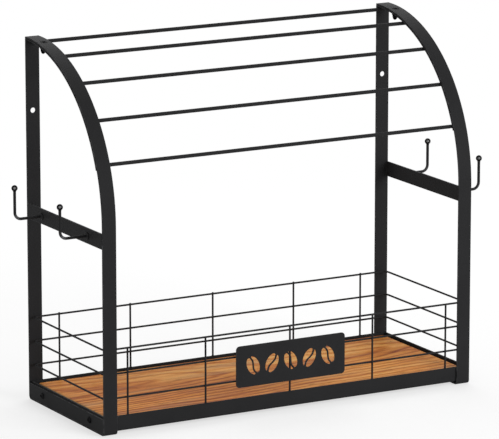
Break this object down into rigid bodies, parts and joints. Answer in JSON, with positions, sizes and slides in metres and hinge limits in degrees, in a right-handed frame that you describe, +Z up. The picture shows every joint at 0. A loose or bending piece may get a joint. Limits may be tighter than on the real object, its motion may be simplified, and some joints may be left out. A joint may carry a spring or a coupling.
{
  "type": "coffee capsule holder",
  "caption": "Black steel countertop coffee rack: curved rails hang capsules by their rims over a fenced tray with a wooden floor, and hooks on both sides hold mugs.",
  "frame": {"origin": "middle of the footprint, on the surface that the rack stands on", "axes": "+X across the front towards the right hand side seen from the front, +Y from front to back, +Z up"},
  "size_m": [0.498, 0.17, 0.381],
  "materials": {
    "black_coat": "satin black powder coat",
    "fastener": "black oxide",
    "wood": "rustic brown, satin"
  },
  "bodies": {
    "root": {"board_screw_left_front": "fastener", "board_screw_left_rear": "fastener", "board_screw_right_front": "fastener", "board_screw_right_rear": "fastener", "fence_ring_low": "black_coat", "fence_ring_mid": "black_coat", "fence_ring_top": "black_coat", "fence_stay_front_1": "black_coat", "fence_stay_front_2": "black_coat", "fence_stay_front_3": "black_coat", "fence_stay_front_4": "black_coat", "fence_stay_front_5": "black_coat", "fence_stay_rear_1": "black_coat", "fence_stay_rear_2": "black_coat", "fence_stay_rear_3": "black_coat", "fence_stay_rear_4": "black_coat", "fence_stay_rear_5": "black_coat", "front_arch_left": "black_coat", "front_arch_right": "black_coat", "hook_left_front": "black_coat", "hook_left_rear": "black_coat", "hook_right_front": "black_coat", "hook_right_rear": "black_coat", "mug_bar_left": "black_coat", "mug_bar_right": "black_coat", "pod_rail_1": "black_coat", "pod_rail_2": "black_coat", "pod_rail_3": "black_coat", "pod_rail_4": "black_coat", "pod_rail_5": "black_coat", "rack_bolt_left": "fastener", "rack_bolt_right": "fastener", "rack_nut_left": "fastener", "rack_nut_right": "fastener", "rack_rib_left": "black_coat", "rack_rib_right": "black_coat", "rear_post_left": "black_coat", "rear_post_right": "black_coat", "shelf_board": "wood", "side_bar_left": "black_coat", "side_bar_right": "black_coat", "sign_plate": "black_coat", "tray_bolt_left_front": "fastener", "tray_bolt_left_rear": "fastener", "tray_bolt_right_front": "fastener", "tray_bolt_right_rear": "fastener", "tray_nut_left_front": "fastener", "tray_nut_left_rear": "fastener", "tray_nut_right_front": "fastener", "tray_nut_right_rear": "fastener", "tray_rail_front": "black_coat", "tray_rail_left": "black_coat", "tray_rail_rear": "black_coat", "tray_rail_right": "black_coat"}
  },
  "joints": []
}
